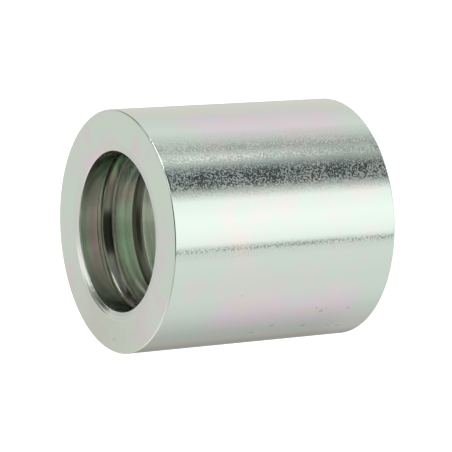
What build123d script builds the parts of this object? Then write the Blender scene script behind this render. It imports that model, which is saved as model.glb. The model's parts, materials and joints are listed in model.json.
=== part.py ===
from build123d import *
from math import radians, tan
import os

# Crimp ferrule for a braided hydraulic hose: one turned steel sleeve, its axis along Z.
# It stands on its collar end, and the mouth that takes the hose is at the top.
# Sizes are in millimetres and degrees. Depths are measured down from the mouth face.

# Outside of the sleeve, and its wall round the bore that the hose slides into
outer_diameter = 27.0
overall_length = 28.0
wall_thickness = 4.6
mouth_edge_radius = 0.2
base_edge_radius = 0.2

# Land at the mouth of the bore, and the shallow chamfer that leads into it: it leaves the
# flat face in a soft bend and meets the bore in a small rounded corner
mouth_land_length = 2.5
mouth_chamfer_width = 1.0
mouth_chamfer_depth = 0.17
mouth_bend_radius = 3.0
mouth_corner_radius = 0.15

# Groove behind the land at the mouth, wider and deeper than the grooves between the ribs
first_groove_width = 2.0
first_groove_depth = 0.7
first_groove_sweep_radius = 1.0

# Ribs that bite into the hose when the sleeve is crimped, and the grooves between them
rib_width = 2.5
rib_edge_chamfer = 0.08
groove_width = 1.25
groove_depth = 0.45
groove_sweep_radius = 0.5

# Each groove has a steep flank on its mouth side, with the tool's nose radius at its foot, and
# a sloping flank on its collar side, which sweeps into the floor in the wider radius above.
# The angles are measured from the axis.
steep_flank_angle = 75.0
sloping_flank_angle = 35.0
steep_corner_radius = 0.12

# Collar that locks on the hose tail: it stands in from the bore by its height, and a relief
# groove lies between it and the last rib
collar_length = 3.5
collar_height = 2.0
collar_edge_chamfer = 0.4
smallest_relief_width = 2.0
relief_depth = 0.9

outer_radius = outer_diameter / 2
hose_bore_radius = outer_radius - wall_thickness
collar_bore_radius = hose_bore_radius - collar_height
mouth_radius = hose_bore_radius + mouth_chamfer_width
mouth_corner_height = overall_length - mouth_chamfer_depth

# The ribs fill the length between the first groove and the relief groove
rib_pitch = rib_width + groove_width
first_rib_depth = mouth_land_length + first_groove_width
collar_depth = overall_length - collar_length
rib_room = collar_depth - smallest_relief_width - first_rib_depth
rib_count = int((rib_room + groove_width) // rib_pitch)
last_rib_end = first_rib_depth + rib_count * rib_pitch - groove_width
relief_width = collar_depth - last_rib_end


def groove_feet(start_depth, width, depth):
    """Heights where one groove's floor meets its steep flank and its sloping flank."""
    start = overall_length - start_depth
    steep_foot = start - depth / tan(radians(steep_flank_angle))
    sloping_foot = start - width + depth / tan(radians(sloping_flank_angle))
    return steep_foot, sloping_foot


def groove_corners(start_depth, width, depth):
    """Corners of one groove's section, from its mouth side round its floor to its collar side."""
    start = overall_length - start_depth
    end = start - width
    steep_foot, sloping_foot = groove_feet(start_depth, width, depth)
    return [
        (collar_bore_radius, start),
        (hose_bore_radius, start),
        (hose_bore_radius + depth, steep_foot),
        (hose_bore_radius + depth, sloping_foot),
        (hose_bore_radius, end),
        (collar_bore_radius, end),
    ]


def corners(sketch, radius, low=0.0, high=overall_length):
    """Corners of the section that lie at this radius and between two heights."""
    at_radius = sketch.vertices().filter_by(lambda corner: abs(corner.X - radius) < 1e-4)
    return at_radius.filter_by(lambda corner: low - 1e-4 < corner.Y < high + 1e-4)


# Depth where each groove starts, its width, its depth into the wall and its sweep
grooves = [(mouth_land_length, first_groove_width, first_groove_depth, first_groove_sweep_radius)]
for rib in range(1, rib_count):
    groove_start = first_rib_depth + rib * rib_pitch - groove_width
    grooves.append((groove_start, groove_width, groove_depth, groove_sweep_radius))
grooves.append((last_rib_end, relief_width, relief_depth, groove_sweep_radius))

with BuildPart() as crimp_ferrule:
    with BuildSketch(Plane.XZ) as wall:
        # Wall, with the collar inside its lower end and the chamfer inside its mouth
        with BuildLine():
            Polyline(
                (collar_bore_radius, 0),
                (outer_radius, 0),
                (outer_radius, overall_length),
                (mouth_radius, overall_length),
                (hose_bore_radius, mouth_corner_height),
                (hose_bore_radius, collar_length),
                (collar_bore_radius, collar_length),
                close=True,
            )
        make_face()

        # Grooves, from the mouth down to the collar
        for start_depth, width, depth, sweep_radius in grooves:
            with BuildLine():
                Polyline(groove_corners(start_depth, width, depth), close=True)
            make_face(mode=Mode.SUBTRACT)
            floor_radius = hose_bore_radius + depth
            steep_foot, sloping_foot = groove_feet(start_depth, width, depth)
            fillet(
                corners(wall, floor_radius, steep_foot, steep_foot), radius=steep_corner_radius
            )
            fillet(corners(wall, floor_radius, sloping_foot, sloping_foot), radius=sweep_radius)

        # Edges of the ribs and of the land, broken so that they don't cut the hose cover
        land_bottom = overall_length - mouth_land_length
        last_rib_bottom = overall_length - last_rib_end
        chamfer(
            corners(wall, hose_bore_radius, last_rib_bottom, land_bottom),
            length=rib_edge_chamfer,
        )

        # Both ends of the mouth's chamfer
        fillet(corners(wall, mouth_radius), radius=mouth_bend_radius)
        fillet(corners(wall, hose_bore_radius, low=mouth_corner_height), radius=mouth_corner_radius)

        # Outer edges of the two ends, and both edges of the collar
        fillet(corners(wall, outer_radius, low=collar_length), radius=mouth_edge_radius)
        fillet(corners(wall, outer_radius, high=collar_length), radius=base_edge_radius)
        chamfer(corners(wall, collar_bore_radius), length=collar_edge_chamfer)
    revolve(axis=Axis.Z)

crimp_ferrule.part.label = "crimp_ferrule"

os.makedirs("parts", exist_ok=True)
export_step(crimp_ferrule.part, "parts/crimp_ferrule.step")
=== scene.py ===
"""A turned and zinc plated crimp ferrule, and the studio that it stands in."""

import json
from math import atan2, cos, degrees, pi, radians, sin, tan

import bmesh
import bpy
from bpy.props import FloatProperty, FloatVectorProperty, PointerProperty
from bpy.types import Operator, Panel, PropertyGroup
from mathutils import Matrix, Vector


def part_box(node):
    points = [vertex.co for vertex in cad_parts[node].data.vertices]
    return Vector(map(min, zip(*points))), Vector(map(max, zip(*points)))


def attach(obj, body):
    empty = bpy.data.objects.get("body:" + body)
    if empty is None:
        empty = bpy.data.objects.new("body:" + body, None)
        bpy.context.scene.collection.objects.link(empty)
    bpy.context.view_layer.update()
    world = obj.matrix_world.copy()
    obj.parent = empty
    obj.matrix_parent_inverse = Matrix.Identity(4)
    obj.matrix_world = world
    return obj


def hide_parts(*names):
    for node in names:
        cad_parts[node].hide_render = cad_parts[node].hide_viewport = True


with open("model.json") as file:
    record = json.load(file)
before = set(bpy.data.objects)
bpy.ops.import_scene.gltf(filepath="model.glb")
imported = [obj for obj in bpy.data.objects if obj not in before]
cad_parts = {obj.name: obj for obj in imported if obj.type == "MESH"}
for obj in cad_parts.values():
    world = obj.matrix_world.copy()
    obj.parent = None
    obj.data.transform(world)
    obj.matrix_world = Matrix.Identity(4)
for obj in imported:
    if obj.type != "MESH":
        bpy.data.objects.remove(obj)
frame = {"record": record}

bl_info = {
    "name": "Crimp ferrule",
    "version": (1, 0, 0),
    "blender": (4, 5, 0),
    "location": "3D View > Sidebar > Ferrule",
    "description": "Turns a crimp ferrule, plates it with zinc and sets up a studio for it",
    "category": "Object",
}

MM = 0.001
NODE = "crimp_ferrule"

low_corner, high_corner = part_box(NODE)
cad_diameter = high_corner.x - low_corner.x
cad_length = high_corner.z - low_corner.z
mounts = {mount["name"]: mount for mount in frame["record"]["mounts"]}
hose_bore_radius = mounts["hose_bore"]["dims"]["r_mm"] * MM
collar_bore_radius = mounts["collar_bore"]["dims"]["r_mm"] * MM


def length(name, description, default):
    """A length that the user can change, in metres."""
    return FloatProperty(
        name=name, description=description, default=default, min=0, precision=5, unit="LENGTH"
    )


def angle(name, description, default):
    """An angle that the user can change, given in degrees."""
    return FloatProperty(
        name=name, description=description, default=radians(default), subtype="ANGLE"
    )


def share(name, description, default):
    """A number from 0 to 1 that the user can change."""
    return FloatProperty(
        name=name, description=description, default=default, min=0, max=1, subtype="FACTOR"
    )


def colour(name, description, default):
    """A colour that the user can change."""
    return FloatVectorProperty(
        name=name, description=description, default=default, min=0, max=1, subtype="COLOR"
    )


class SleeveSizes(PropertyGroup):
    outer_diameter: length("Outer diameter", "Outside of the sleeve", cad_diameter)
    overall_length: length("Length", "From the collar end to the mouth", cad_length)
    mouth_edge_radius: length("Mouth edge", "Outer edge at the mouth", 0.2 * MM)
    base_edge_radius: length("Base edge", "Outer edge at the collar end", 0.2 * MM)
    bore_diameter: length("Bore", "Bore for the hose, over the ribs", 2 * hose_bore_radius)
    land_length: length("Land", "Plain bore behind the mouth", 2.5 * MM)
    chamfer_width: length("Mouth chamfer width", "Across the face", 1.0 * MM)
    chamfer_depth: length("Mouth chamfer depth", "Into the bore", 0.17 * MM)
    bend_radius: length("Mouth bend", "From the face into the mouth's chamfer", 3.0 * MM)
    mouth_corner_radius: length("Mouth corner", "From the chamfer into the bore", 0.15 * MM)
    first_groove_width: length("First groove width", "Groove behind the land", 2.0 * MM)
    first_groove_depth: length("First groove depth", "Groove behind the land", 0.7 * MM)
    first_groove_sweep: length("First groove sweep", "From its floor up its slope", 1.0 * MM)
    rib_width: length("Rib width", "Crest of each rib", 2.5 * MM)
    rib_edge_chamfer: length("Rib edge", "Broken edges of the ribs", 0.08 * MM)
    groove_width: length("Groove width", "Grooves between the ribs", 1.25 * MM)
    groove_depth: length("Groove depth", "Grooves between the ribs", 0.45 * MM)
    groove_sweep: length("Groove sweep", "From their floors up their slopes", 0.5 * MM)
    steep_corner: length("Steep corners", "At the feet of the steep flanks", 0.12 * MM)
    steep_flank: angle("Steep flank", "Flank on the mouth side, from the axis", 75)
    sloping_flank: angle("Sloping flank", "Flank on the collar side, from the axis", 35)
    collar_length: length("Collar length", "Collar that locks on the hose tail", 3.5 * MM)
    collar_bore: length("Collar bore", "Bore of the collar", 2 * collar_bore_radius)
    collar_chamfer: length("Collar edges", "Chamfers of the collar's bore", 0.4 * MM)
    smallest_relief: length("Relief", "Least width of the relief groove", 2.0 * MM)
    relief_depth: length("Relief depth", "Groove between ribs and collar", 0.9 * MM)


class PlatingLook(PropertyGroup):
    green: colour("Green", "Zinc where the film shines green", (0.75, 0.85, 0.765))
    pink: colour("Pink", "Zinc where the film shines pink", (0.87, 0.77, 0.825))
    straw: colour("Straw", "Zinc where the film shines yellow", (0.84, 0.83, 0.71))
    blue: colour("Blue", "Zinc where the film shines blue", (0.69, 0.83, 0.80))
    # The next two colours are a painted dim reflection and a painted bright reflection on the
    # outside
    shade: colour("Shade", "Darker zinc, in place of a dim reflection", (0.42, 0.50, 0.46))
    painted_reflection: colour("Bare", "Brighter zinc, in place of a bright reflection", (1.0, 0.99, 0.93))
    dull: colour("Dull", "Dull zinc on the -X side of the mouth's face", (0.66, 0.68, 0.61))
    ring: colour("Ring", "Zinc on the mouth's chamfer", (0.78, 0.81, 0.755))
    dark_ring_place: colour("Worn ring", "Dark zinc in one place at the bore's rim", (0.30, 0.32, 0.27))
    bore: colour("Bore", "Zinc on the ribs and the land", (0.95, 0.98, 0.91))
    # The next two colours darken the grooves as painted shade
    groove: colour("Groove", "Thin and stained zinc in the grooves", (0.30, 0.32, 0.25))
    deep_groove_shade: colour("Deep groove", "Stained zinc behind the first rib", (0.17, 0.175, 0.14))
    # The edge colour darkens the ribs' broken edges as painted shade
    edge: colour("Edge", "Worn zinc on the edges of the ribs", (0.27, 0.27, 0.23))
    stain_and_groove_shade: colour("Stain", "Small spots where the steel shows through", (0.44, 0.38, 0.30))
    shade_strength: share("Shade strength", "How much the shade shows", 0.8)
    stain_strength: share("Stain strength", "How much the stains show", 0.5)
    cloud_size: length("Clouds", "Size of the clouds in the film", 5 * MM)
    mottle_size: length("Mottle", "Size of the smaller clouds in it", 1.6 * MM)
    back_specks: share("Specks at the back", "How strong the specks are there", 0.6)
    roughness: share("Roughness", "Roughness of the plating", 0.08)
    speck_roughness: share("Speck roughness", "Roughness of the specks in it", 0.36)
    bore_roughness: share("Bore roughness", "Roughness of the turned bore", 0.17)
    groove_roughness: share("Groove roughness", "Roughness behind the first rib", 0.3)
    edge_roughness: share("Edge roughness", "Roughness of the ribs' edges", 0.5)
    speck_size: length("Specks", "Size of the rough specks in the plating", 0.21 * MM)
    grain_height: length("Grain height", "Height of the grain in the plating", 0.003 * MM)
    nick_depth: length("Nick depth", "Depth of the nicks in the two outer edges", 0.03 * MM)
    mark_spacing: length("Mark spacing", "Between the turning marks in the bore", 0.12 * MM)
    mark_depth: length("Mark depth", "Depth of those marks", 0.0012 * MM)
    ring_spacing: length("Mouth marks", "Between the turning marks round the mouth", 0.28 * MM)
    ring_mark_depth: length("Mouth mark depth", "Depth of those marks", 0.030 * MM)


class StudioLook(PropertyGroup):
    floor: colour("Floor", "Floor that the ferrule stands on", (0.85, 0.85, 0.85))
    floor_reach: length("Floor reach", "From its middle to its sides", 1.5)
    floor_glow: share("Floor glow", "What the camera sees of the floor on top of its light", 0.8)
    bore_glow: share("Glow in the bore", "How much of that glow the bore mirrors", 0.5)
    hidden_rim: length("Hidden rim", "Rim of the footprint that no mirrored ray sees", 1 * MM)
    ceiling: colour("Ceiling", "Studio over the back of the ferrule", (0.71, 0.715, 0.68))
    front_ceiling: colour("Front ceiling", "Studio over the camera's side", (0.5, 0.5, 0.49))
    elevation: angle("Elevation", "Camera above the horizon", 29.97)
    roll: angle("Roll", "Turn of the picture from the ferrule's axis", 4.27)
    distance: length("Distance", "From the camera to the middle of the picture", 322.1 * MM)
    aim_right: length("Aim right", "Picture's middle, right of the ferrule's", 0.12 * MM)
    aim_below: length("Aim below", "Picture's middle, below the ferrule's", 0.26 * MM)
    focal_length: FloatProperty(
        name="Focal length", description="Lens of the camera", default=228.06, unit="CAMERA"
    )
    sensor_width: FloatProperty(
        name="Sensor", description="Width of the camera's sensor", default=36, unit="CAMERA"
    )


class Wire:
    """An output of a shader node. The usual operators on it add Math nodes."""

    def __init__(self, graph, socket):
        self.graph = graph
        self.socket = socket

    def math(self, operation, *others):
        return self.graph.math(operation, self, *others)

    def __add__(self, other):
        return self.graph.math("ADD", self, other)

    def __sub__(self, other):
        return self.graph.math("SUBTRACT", self, other)

    def __rsub__(self, other):
        return self.graph.math("SUBTRACT", other, self)

    def __mul__(self, other):
        return self.graph.math("MULTIPLY", self, other)

    def __truediv__(self, other):
        return self.graph.math("DIVIDE", self, other)

    __radd__ = __add__
    __rmul__ = __mul__


class Graph:
    """Builds one node tree."""

    def __init__(self, tree):
        self.tree = tree
        tree.nodes.clear()

    def add(self, kind, settings=None, sockets=None, output=0):
        """A node with its settings, then its sockets, which take numbers, colours or wires."""
        node = self.tree.nodes.new(kind)
        for name, value in (settings or {}).items():
            if name == "stops":
                self.set_stops(node.color_ramp, value)
            else:
                setattr(node, name, value)
        for name, value in (sockets or {}).items():
            if isinstance(value, Wire):
                self.tree.links.new(value.socket, node.inputs[name])
            else:
                node.inputs[name].default_value = value
        return Wire(self, node.outputs[output]) if node.outputs else node

    def set_stops(self, ramp, stops):
        """Grey stops, 32 at most, as (place, level). A new ramp has a stop at each end."""
        ramp.elements.remove(ramp.elements[0])
        ramp.elements[0].position = stops[-1][0]
        for place, level in stops[:-1]:
            ramp.elements.new(place)
        for element, (place, level) in zip(ramp.elements, stops):
            element.color = (level, level, level, 1)

    def math(self, operation, *values):
        return self.add("ShaderNodeMath", {"operation": operation}, dict(enumerate(values)))

    def axes(self, vector):
        """The three parts of a vector."""
        first = self.add("ShaderNodeSeparateXYZ", {}, {"Vector": vector})
        return [Wire(self, socket) for socket in first.socket.node.outputs]

    def step(self, value, start, end):
        """0 where the value is under start, 1 past end, and a smooth rise between them."""
        sockets = {"Value": value, "From Min": start, "From Max": end}
        return self.add("ShaderNodeMapRange", {"interpolation_type": "SMOOTHSTEP"}, sockets)

    def band(self, value, centre, half_width):
        """1 at the centre and 0 beyond half_width from it."""
        return 1 - self.step((value - centre).math("ABSOLUTE"), 0, half_width)

    def noise(self, place, size, detail):
        """Soft clouds of one size."""
        sockets = {"Vector": place, "Scale": 1 / size, "Detail": detail}
        return self.add("ShaderNodeTexNoise", {}, sockets)

    def clipped(self, value):
        """The value, kept between 0 and 1."""
        return value.math("MINIMUM", 1).math("MAXIMUM", 0)

    def point(self, x, y, z):
        """A vector of three values."""
        return self.add("ShaderNodeCombineXYZ", {}, {"X": x, "Y": y, "Z": z})

    def mix(self, factor, first, second):
        """A colour between the first and the second, each a wire or three numbers."""
        node = self.tree.nodes.new("ShaderNodeMix")
        node.data_type = "RGBA"
        chosen = {socket.name: socket for socket in node.inputs if socket.enabled}
        self.tree.links.new(factor.socket, chosen["Factor"])
        for name, value in {"A": first, "B": second}.items():
            if isinstance(value, Wire):
                self.tree.links.new(value.socket, chosen[name])
            else:
                chosen[name].default_value = (*value, 1)
        return Wire(self, next(socket for socket in node.outputs if socket.enabled))


def rounded_corner(before, corner, after, radius, steps=5):
    """Points of the arc that rounds a corner of the section."""
    to_before = (before - corner).normalized()
    to_after = (after - corner).normalized()
    half_angle = to_before.angle(to_after) / 2
    centre = corner + (to_before + to_after).normalized() * (radius / sin(half_angle))
    first = corner + to_before * (radius / tan(half_angle)) - centre
    last = corner + to_after * (radius / tan(half_angle)) - centre
    turn = atan2(first.x * last.y - first.y * last.x, first.dot(last))
    return [centre + Matrix.Rotation(turn * step / steps, 2) @ first for step in range(steps + 1)]


def broken_corner(before, corner, after, size):
    """The two points of a chamfer."""
    return [corner + (side - corner).normalized() * size for side in (before, after)]


def sleeve_section(sizes):
    """Points of the sleeve's section as (radius, height), anticlockwise from the collar's bore."""
    outer = sizes.outer_diameter / 2
    bore = sizes.bore_diameter / 2
    collar = sizes.collar_bore / 2
    top = sizes.overall_length

    # Each corner of the section has its place, the size of its edge and how that is made
    corners = [
        (collar, 0, sizes.collar_chamfer, broken_corner),
        (outer, 0, sizes.base_edge_radius, rounded_corner),
        (outer, top, sizes.mouth_edge_radius, rounded_corner),
        (bore + sizes.chamfer_width, top, sizes.bend_radius, rounded_corner),
        (bore, top - sizes.chamfer_depth, sizes.mouth_corner_radius, rounded_corner),
    ]

    def add_groove(start_depth, width, depth, sweep, far_crest=True):
        start = top - start_depth
        end = start - width
        steep_foot = start - depth / tan(sizes.steep_flank)
        sloping_foot = end + depth / tan(sizes.sloping_flank)
        corners.append((bore, start, sizes.rib_edge_chamfer, broken_corner))
        corners.append((bore + depth, steep_foot, sizes.steep_corner, rounded_corner))
        corners.append((bore + depth, sloping_foot, sweep, rounded_corner))
        corners.append((bore, end, sizes.rib_edge_chamfer if far_crest else 0, broken_corner))

    # The ribs fill the length between the first groove and the relief groove
    pitch = sizes.rib_width + sizes.groove_width
    first_rib = sizes.land_length + sizes.first_groove_width
    collar_depth = top - sizes.collar_length
    rib_room = collar_depth - sizes.smallest_relief - first_rib
    rounding_room = 1e-9
    rib_count = int((rib_room + sizes.groove_width + rounding_room) // pitch)
    last_rib_end = first_rib + rib_count * pitch - sizes.groove_width
    first_groove = sizes.first_groove_width, sizes.first_groove_depth, sizes.first_groove_sweep
    add_groove(sizes.land_length, *first_groove)
    for rib in range(1, rib_count):
        start = first_rib + rib * pitch - sizes.groove_width
        add_groove(start, sizes.groove_width, sizes.groove_depth, sizes.groove_sweep)
    relief = collar_depth - last_rib_end, sizes.relief_depth, sizes.groove_sweep
    add_groove(last_rib_end, *relief, far_crest=False)
    corners.append((collar, sizes.collar_length, sizes.collar_chamfer, broken_corner))

    places = [Vector(corner[:2]) for corner in corners]
    section = []
    for index, (place, corner) in enumerate(zip(places, corners)):
        size, make_edge = corner[2:]
        if size:
            section += make_edge(places[index - 1], place, places[(index + 1) % len(places)], size)
        else:
            section.append(place)
    return section


def turned_mesh(name, section, turns=360, sharpest_smooth_edge=radians(20)):
    """A closed mesh of revolution round Z, smooth but for the edges of the section."""
    builder = bmesh.new()
    rings = []
    for turn in range(turns):
        around = 2 * pi * turn / turns
        rings.append(
            [builder.verts.new((r * cos(around), r * sin(around), h)) for r, h in section]
        )
    for turn, ring in enumerate(rings):
        next_ring = rings[(turn + 1) % turns]
        for index, vertex in enumerate(ring):
            builder.faces.new(
                (vertex, next_ring[index], next_ring[index - 1], ring[index - 1])
            )
    bmesh.ops.recalc_face_normals(builder, faces=builder.faces)
    mesh = bpy.data.meshes.new(name)
    builder.to_mesh(mesh)
    builder.free()
    mesh.shade_smooth()
    mesh.set_sharp_from_angle(angle=sharpest_smooth_edge)
    return mesh


# Patches of film in the bore: depth in mm, degrees round from the back towards +X, half of
# their length and of their angle, and colour. The grey ones stand in for light and shade that
# the bore has in the photo.
BORE_PATCHES = [
    (0.7, 52, 0.9, 28, (0.62, 0.61, 0.55)),
    (0.8, -2, 0.9, 22, (0.88, 1.00, 0.92)),
    (2.1, -4, 1.0, 44, (0.76, 0.54, 0.61)),
    (1.9, 58, 0.8, 18, (0.78, 1.00, 0.76)),
    (5.8, 44, 1.6, 12, (0.62, 0.76, 0.72)),
    (5.8, 28, 1.6, 12, (1.00, 0.84, 0.80)),
    (5.8, -9, 1.7, 40, (0.50, 0.72, 0.51)),
    (9.2, -14, 1.4, 24, (0.62, 0.70, 0.60)),
    (3.2, -76, 4.5, 24, (0.52, 0.60, 0.60)),
    (2.85, -6, 0.45, 34, (0.36, 0.37, 0.32)),
    (4.7, -4, 0.25, 60, (0.52, 0.53, 0.46)),
]

# Patches in the first groove, given in the same way: film colours darkened as painted shade,
# and a pale one at 3.4 mm and -43 degrees that is a painted highlight along the groove's streak
GROOVE_PATCHES = [
    (3.8, 36, 1.2, 18, (0.27, 0.22, 0.18)),
    (3.8, 59, 1.2, 21, (0.12, 0.22, 0.12)),
    (3.4, 42, 0.45, 30, (0.10, 0.13, 0.09)),
    (4.0, -46, 0.7, 28, (0.15, 0.16, 0.13)),
    (4.4, -5, 0.35, 75, (0.10, 0.10, 0.08)),
    (3.4, -43, 0.5, 16, (0.62, 0.64, 0.55)),
]

# Small spots on the wall and the mouth's face where the steel shows through the plating, and
# nicks in the two outer edges: radius and depth in mm, degrees round from the camera's side
# towards +X, and size in mm
STAINS = [
    (13.5, 20.5, -50.6, 0.42), (13.5, 19.7, -48.2, 0.26), (13.5, 21.0, -48.9, 0.22),
    (13.5, 24.0, -50.0, 0.30), (13.5, 24.4, -66.2, 0.40), (13.5, 19.4, -62.2, 0.46),
    (13.5, 15.0, -59.3, 0.42), (13.5, 13.0, -65.0, 0.40), (13.5, 22.9, -64.6, 0.26),
    (13.5, 9.2, -36.0, 0.18), (12.0, 0.0, -99.0, 0.30), (12.1, 0.0, -101.5, 0.22),
]
NICKS = [
    (13.5, 27.6, 31.8, 0.45), (13.5, 27.2, 34.5, 0.30), (13.5, 27.5, 21.0, 0.30),
    (13.4, 0.1, 44.5, 0.34), (13.4, 0.1, 41.8, 0.26), (13.4, 0.1, 36.0, 0.24),
    (13.4, 0.1, 29.0, 0.20), (13.5, 27.6, 52.0, 0.25), (13.4, 0.1, -58.0, 0.24),
]


def wall_film_and_painted_reflections(graph, look, clouds, around, depth):
    """Colour of the film round the outside: long bands of colour, bent by clouds. A darker strip
    at 32 degrees is a painted dim reflection, and a brighter collar end a painted bright
    reflection; both stand in for reflections that this studio doesn't give."""
    turn = around.math("ABSOLUTE")
    middle = graph.step(depth, 3, 8) * (1 - graph.step(depth, 23, 26.5))
    shoulders = graph.band(around, 55, 20) + graph.band(around, -48, 20) + graph.band(turn, 135, 30)
    pinkness = shoulders * middle * 0.9 + clouds * 0.6 + middle * 0.25 - 0.12
    tint = graph.mix(graph.clipped(pinkness), look.green, look.pink)
    blueness = graph.clipped(graph.band(around, 23, 11) * 1.2 + clouds * 0.8)
    tint = graph.mix(blueness * graph.band(around, 23, 14), tint, look.blue)
    # A darker strip at 32 degrees, deeper towards the collar end: a painted dim reflection
    shadiness = graph.band(around, 32, 8) * graph.step(depth, 2, 27)
    tint = graph.mix(shadiness * look.shade_strength, tint, look.shade)
    sides = graph.step(turn, 58, 72) * graph.step(turn, 120, 100)
    tint = graph.mix(graph.clipped(sides + clouds * 0.6), tint, look.straw)
    # A brighter collar end towards -78 degrees: a painted bright reflection
    painted_reflection_end = graph.step(depth, 21, 26) * graph.band(around, -78, 30).math("SQRT")
    return graph.mix(painted_reflection_end, tint, look.painted_reflection)


def spots(graph, place, sizes, grain, places):
    """1 in the middle of small ragged spots, and 0 round them."""
    highest = 0
    for radius, depth, turn, size in places:
        middle = direction_of(radians(turn), 0) * (radius * MM)
        middle.z = sizes.overall_length - depth * MM
        sockets = {0: place, 1: middle}
        away = graph.add("ShaderNodeVectorMath", {"operation": "DISTANCE"}, sockets, "Value")
        there = 1 - graph.step(away + (grain - 0.5) * (size * MM), 0, size * MM)
        highest = there.math("MAXIMUM", highest)
    return highest


def face_film(graph, look, clouds, around):
    """Colour of the film on the mouth's face: green, and dull and faintly pink towards -X."""
    dull_side = graph.band(around, -112, 72)
    pinkness = graph.clipped(dull_side * 0.4 + clouds * 1.3 + 0.18)
    tint = graph.mix(pinkness, look.green, look.pink)
    return graph.mix(graph.clipped(dull_side * 0.75 + clouds * 0.2), tint, look.dull)


def patched(graph, tint, patches, from_back, depth):
    """The colour, with soft patches of other colours over it."""
    for patch_depth, turn, half_depth, half_turn, patch in patches:
        there = graph.band(depth, patch_depth, half_depth)
        there = there * graph.band(from_back, turn, half_turn)
        tint = graph.mix(there.math("SQRT"), tint, patch)
    return tint


def bore_film_and_painted_light(graph, look, x, y, depth, in_groove, near_second_groove):
    """Colour of the film in the bore: patches on the land and the ribs, the grey ones painted
    light and shade, and grooves darkened as painted shade.
    """
    from_back = x.math("ARCTAN2", y) * degrees(1)
    tint = patched(graph, look.bore, BORE_PATCHES, from_back, depth)
    # The grooves are darkened as painted shade, with patches of film colour in them
    stain_and_groove_shade = patched(graph, look.groove, GROOVE_PATCHES, from_back, depth)
    stain_and_groove_shade = graph.mix(near_second_groove.math("SQRT"), stain_and_groove_shade, look.deep_groove_shade)
    # The grooves behind these two get no painted shade and take the ribs' colour
    stain_and_groove_shade = graph.mix(graph.step(depth, 8.5, 10), stain_and_groove_shade, look.bore)
    return graph.mix(in_groove * graph.step(depth, 3.05, 3.4), tint, stain_and_groove_shade)


def zinc_plating(look, sizes):
    """Bright zinc with a thin film that shines in faint colours, with a fine grain outside
    and turning marks in the bore and its mouth."""
    material = bpy.data.materials.new("zinc_plating")
    material.use_nodes = True
    graph = Graph(material.node_tree)
    place = graph.add("ShaderNodeTexCoord", {}, {}, output="Object")
    x, y, height = graph.axes(place)
    radius = (x * x + y * y).math("SQRT")
    around = x.math("ARCTAN2", y * -1) * degrees(1)
    depth = (sizes.overall_length - height) / MM
    bore = sizes.bore_diameter / 2

    # Where the zones of the surface lie, by their distance from the bore and their depth
    in_bore = 1 - graph.step(radius, bore + 0.9 * MM, bore + 1.1 * MM)
    on_wall = graph.step(radius, bore + 3.9 * MM, bore + 4.4 * MM)
    on_face = 1 - graph.step(depth, 0.02, 0.08)
    ring_end = (sizes.chamfer_depth + sizes.mouth_corner_radius) / MM
    deep = graph.step(depth, ring_end - 0.08, ring_end)
    in_groove = graph.step(radius, bore + 0.05 * MM, bore + 0.11 * MM) * deep
    on_ring = in_bore * (1 - deep)
    on_edge = graph.band(radius, bore + 0.05 * MM, 0.05 * MM) * graph.step(depth, 2.9, 3.2)
    near_second_groove = graph.band(depth, 7.6, 1.4)

    # Film, with clouds of two sizes and a fine grain in it
    cloud = graph.noise(place, look.cloud_size, 2)
    mottle = graph.noise(place, look.mottle_size, 3)
    grain = graph.noise(place, look.speck_size, 2)
    clouds = (cloud - 0.5) * 3 + (mottle - 0.5) * 1.8 + (grain - 0.5) * 0.3
    tint = wall_film_and_painted_reflections(graph, look, clouds, around, depth)
    tint = graph.mix(on_face, tint, face_film(graph, look, clouds, around))
    ring = graph.mix(graph.band(around, 116, 34), look.ring, look.pink)
    # Darker in one ragged place on the mouth's chamfer, towards -126 degrees
    dark_place_on_ring = graph.band(around + (grain - 0.5) * 40, -126, 18).math("SQRT")
    ring = graph.mix(dark_place_on_ring * graph.step(depth, 0.05, 0.17), ring, look.dark_ring_place)
    tint = graph.mix(on_ring, tint, ring)
    # The bore's film colour, with painted light and shade in it
    film = bore_film_and_painted_light(graph, look, x, y, depth, in_groove, near_second_groove)
    tint = graph.mix(in_bore * deep, tint, film)
    # The ribs' broken edges, darkened as painted shade
    tint = graph.mix(on_edge, tint, look.edge)

    # Rough specks on sandy strips of the outside, crowded in some places, and a few stains
    sandy = graph.step(around, 9, 16) * graph.step(around, 52, 42) + graph.band(around, -13, 5)
    sandy = sandy + graph.step(around.math("ABSOLUTE"), 95, 115) * look.back_specks
    crowding = (cloud - 0.5) * 0.2 + graph.step(depth, 7, 2) * 0.05
    past_edge = graph.step(depth, 0.2, 0.5)
    specks = graph.step(grain + crowding, 0.46, 0.57) * sandy * on_wall * past_edge
    stains = spots(graph, place, sizes, grain, STAINS)
    tint = graph.mix(stains * look.stain_strength, tint, look.stain_and_groove_shade)

    # Marks of the tool in the bore, coarser ones round its mouth, and nicks in the outer edges.
    # A degree counts for 0.002 mm only, so the marks run on round the axis.
    section = graph.point(radius, height, around * (0.002 * MM))
    relief = grain * on_wall * past_edge * look.grain_height
    relief = relief + graph.noise(section, look.mark_spacing, 1) * in_bore * look.mark_depth
    relief = relief + graph.noise(section, look.ring_spacing, 2) * on_ring * look.ring_mark_depth
    relief = relief - spots(graph, place, sizes, grain, NICKS) * look.nick_depth
    bump = graph.add("ShaderNodeBump", {}, {"Strength": 1.0, "Distance": 1.0, "Height": relief})

    roughness = look.roughness + specks * (look.speck_roughness - look.roughness)
    roughness = roughness + in_bore * deep * (look.bore_roughness - look.roughness)
    roughness = roughness + on_edge * (look.edge_roughness - look.bore_roughness)
    second_groove = near_second_groove * in_groove * in_bore
    roughness = roughness + second_groove * (look.groove_roughness - look.bore_roughness)
    shader = graph.add(
        "ShaderNodeBsdfPrincipled",
        {},
        {"Base Color": tint, "Metallic": 1.0, "Roughness": roughness, "Normal": bump},
    )
    graph.add("ShaderNodeOutputMaterial", {}, {"Surface": shader})
    return material


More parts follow.
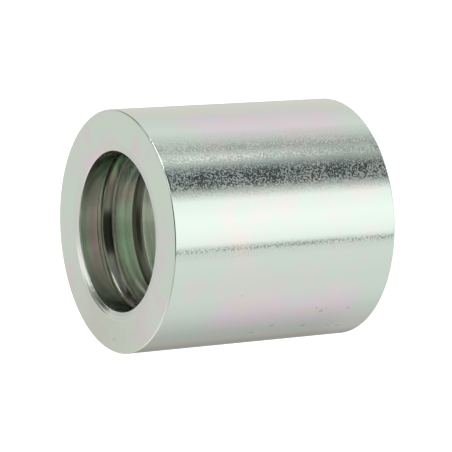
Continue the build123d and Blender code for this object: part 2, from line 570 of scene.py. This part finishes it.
def pale_floor(look, footprint):
    """White card. The wall mirrors the studio and not the floor; only the bore shows it."""
    material = bpy.data.materials.new("pale_floor")
    material.use_nodes = True
    graph = Graph(material.node_tree)
    x, y, height = graph.axes(graph.add("ShaderNodeTexCoord", {}, {}, output="Object"))
    radius = (x * x + y * y).math("SQRT")
    camera_ray = graph.add("ShaderNodeLightPath", {}, {}, output="Is Camera Ray")
    glossy_ray = graph.add("ShaderNodeLightPath", {}, {}, output="Is Glossy Ray")
    glow = camera_ray + glossy_ray * look.bore_glow
    card = graph.add(
        "ShaderNodeBsdfPrincipled",
        {},
        {
            "Base Color": (*look.floor, 1),
            "Roughness": 1.0,
            "Specular IOR Level": 0.0,
            "Emission Color": graph.mix(glow, (0, 0, 0), (1, 1, 1)),
            "Emission Strength": look.floor_glow,
        },
    )
    # The wall's rays pass through the floor, so of the mirrored rays only the bore's show it
    clear = graph.add("ShaderNodeBsdfTransparent")
    away = graph.math("GREATER_THAN", radius, footprint)
    surface = graph.add("ShaderNodeMixShader", {}, {0: glossy_ray * away, 1: card, 2: clear})
    graph.add("ShaderNodeOutputMaterial", {}, {"Surface": surface})
    return material


# Brightness of the studio round the ferrule, by the angle from the camera's side towards +X.
# The levels were worked out from how bright the wall is in the photo at half of each angle,
# and then changed.
STUDIO_LEVELS = [
    (-180, 0.46), (-164, 0.33), (-154, 0.34), (-140, 0.44), (-124, 0.49), (-108, 0.59),
    (-92, 0.71), (-76, 0.765), (-60, 0.775), (-36, 0.81), (-27, 0.79), (-24, 0.22),
    (-21.5, 0.90), (-18, 1.04), (-8, 1.12), (4, 1.15), (22, 1.06), (28, 0.78), (32, 0.42),
    (36, 0.10), (48, 0.06), (53, 0.20), (58, 0.42), (64, 0.95), (69, 0.80), (74, 0.42),
    (80, 0.48), (88, 0.69), (100, 0.79), (124, 0.72), (160, 0.70), (180, 0.46),
]

# Patches of the studio over the ferrule: degrees round and up, radius, softness and brightness.
# They are a reflector on the -X side, the dark room behind the camera, the lamp over the back
# and the gap below it, three dim places low down, and a dark gap and three lamps towards +X.
STUDIO_PATCHES = [
    (-110, 30, 28, 10, 0.9),
    (0, 34, 26, 5, 0.05),
    (172.4, 47.5, 3.6, 2.2, 1.1),
    (168, 38.5, 4.4, 2, 0.12),
    (122, 8, 20, 6, 0.2),
    (180, 12, 9, 5, 0.66),
    (165, 24, 7, 4, 0.6),
    (94, 29, 13, 4, 0.15),
    (38, 0, 9, 3, 2.2),
    (66, 4, 14, 3, 2.6),
    (80, 6, 7, 3, 2.6),
]


def direction_of(around, elevation):
    """The direction at an angle from the camera's side towards +X, and an elevation."""
    flat = cos(elevation)
    return Vector((sin(around) * flat, -cos(around) * flat, sin(elevation)))


def studio_world(look):
    """Soft light all round, dim over the camera's side, with lamps and dark places in it."""
    world = bpy.data.worlds.new("studio")
    world.use_nodes = True
    graph = Graph(world.node_tree)
    direction = graph.add("ShaderNodeTexCoord", {}, {}, output="Generated")
    x, y, z = graph.axes(direction)
    around = x.math("ARCTAN2", y * -1) * degrees(1)
    stops = [(turn / 360 + 0.5, level) for turn, level in STUDIO_LEVELS]
    walls = graph.add("ShaderNodeValToRGB", {"stops": stops}, {"Fac": around / 360 + 0.5})

    # The front ceiling ends at the sides and near the top
    front = graph.step(y, 0.12, -0.02) * (1 - graph.step(z, 0.75, 0.9))
    ceiling = graph.mix(front, look.ceiling, look.front_ceiling)
    for turn, up, radius, softness, level in STUDIO_PATCHES:
        middle = direction_of(radians(turn), radians(up))
        nearness = x * middle.x + y * middle.y + z * middle.z
        edges = cos(radians(radius + softness)), cos(radians(radius - softness))
        ceiling = graph.mix(graph.step(nearness, *edges), ceiling, (level, level, level))
    # A long lamp low on the +X side
    lamp = graph.step(around, 50, 56) * graph.step(around, 94, 84) * graph.band(z, 0.25, 0.09)
    ceiling = graph.mix(lamp, ceiling, (3, 3, 3))
    # The walls fill what lies below the horizon, and fade into the ceiling just under it
    light = graph.mix(graph.step(z, -0.25, -0.08), walls, ceiling)

    camera_ray = graph.add("ShaderNodeLightPath", {}, {}, output="Is Camera Ray")
    seen = graph.mix(camera_ray, light, (1, 1, 1))
    background = graph.add("ShaderNodeBackground", {}, {"Color": seen})
    graph.add("ShaderNodeOutputWorld", {}, {"Surface": background})
    return world


def place_camera(look, height):
    """A camera turned on its side, so that the standing ferrule points left in the picture."""
    towards_camera = Vector((0, -cos(look.elevation), sin(look.elevation)))
    upright = Vector((0, 0, 1))
    up_the_axis = (upright - towards_camera * upright.dot(towards_camera)).normalized()
    across = up_the_axis.cross(towards_camera)
    left = up_the_axis * cos(look.roll) + across * sin(look.roll)
    up = towards_camera.cross(-left)
    aim = Vector((0, 0, height / 2)) - left * look.aim_right - up * look.aim_below
    camera = bpy.data.objects.new("camera", bpy.data.cameras.new("camera"))
    bpy.context.scene.collection.objects.link(camera)
    camera.matrix_world = Matrix.Translation(aim + towards_camera * look.distance) @ Matrix(
        (-left, up, towards_camera)
    ).transposed().to_4x4()
    camera.data.sensor_width = look.sensor_width
    camera.data.lens = look.focal_length
    bpy.context.scene.camera = camera


class FERRULE_OT_sleeve(Operator):
    """Turn the sleeve and plate it"""

    bl_idname = "ferrule.sleeve"
    bl_label = "Turn and plate the sleeve"

    def execute(self, context):
        sizes = context.scene.ferrule_sizes
        mesh = turned_mesh("plated_ferrule", sleeve_section(sizes))
        mesh.materials.append(zinc_plating(context.scene.ferrule_plating, sizes))
        sleeve = bpy.data.objects.new("plated_ferrule", mesh)
        context.scene.collection.objects.link(sleeve)
        normals = sleeve.modifiers.new("even_normals", "WEIGHTED_NORMAL")
        normals.keep_sharp = True
        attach(sleeve, "root")
        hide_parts(NODE)
        return {"FINISHED"}


class FERRULE_OT_stage(Operator):
    """Lay the floor, light the studio and place the camera"""

    bl_idname = "ferrule.stage"
    bl_label = "Set the stage"

    def execute(self, context):
        scene = context.scene
        look = scene.ferrule_studio
        sizes = scene.ferrule_sizes
        builder = bmesh.new()
        bmesh.ops.create_grid(builder, x_segments=1, y_segments=1, size=look.floor_reach)
        mesh = bpy.data.meshes.new("floor")
        builder.to_mesh(mesh)
        builder.free()
        mesh.materials.append(pale_floor(look, sizes.outer_diameter / 2 - look.hidden_rim))
        floor = bpy.data.objects.new("floor", mesh)
        scene.collection.objects.link(floor)
        place_camera(look, sizes.overall_length)
        scene.world = studio_world(look)
        scene.view_settings.view_transform = "Standard"
        return {"FINISHED"}


class FERRULE_PT_panel(Panel):
    """Sizes and looks of the ferrule, and the steps that make it"""

    bl_idname = "FERRULE_PT_panel"
    bl_label = "Crimp ferrule"
    bl_space_type = "VIEW_3D"
    bl_region_type = "UI"
    bl_category = "Ferrule"

    def draw(self, context):
        scene = context.scene
        for settings in (scene.ferrule_sizes, scene.ferrule_plating, scene.ferrule_studio):
            box = self.layout.box()
            for name in settings.bl_rna.properties.keys():
                if name not in {"rna_type", "name"}:
                    box.prop(settings, name)
        for step in STEPS:
            self.layout.operator(step.bl_idname)


STEPS = (FERRULE_OT_sleeve, FERRULE_OT_stage)
SETTINGS = {
    "ferrule_sizes": SleeveSizes,
    "ferrule_plating": PlatingLook,
    "ferrule_studio": StudioLook,
}


def register():
    for item in (*SETTINGS.values(), *STEPS, FERRULE_PT_panel):
        bpy.utils.register_class(item)
    for name, group in SETTINGS.items():
        setattr(bpy.types.Scene, name, PointerProperty(type=group))


def unregister():
    for name in SETTINGS:
        delattr(bpy.types.Scene, name)
    for item in reversed((*SETTINGS.values(), *STEPS, FERRULE_PT_panel)):
        bpy.utils.unregister_class(item)


def main():
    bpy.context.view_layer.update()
    register()
    bpy.ops.ferrule.sleeve()
    bpy.ops.ferrule.stage()


if __name__ == "__main__":
    main()
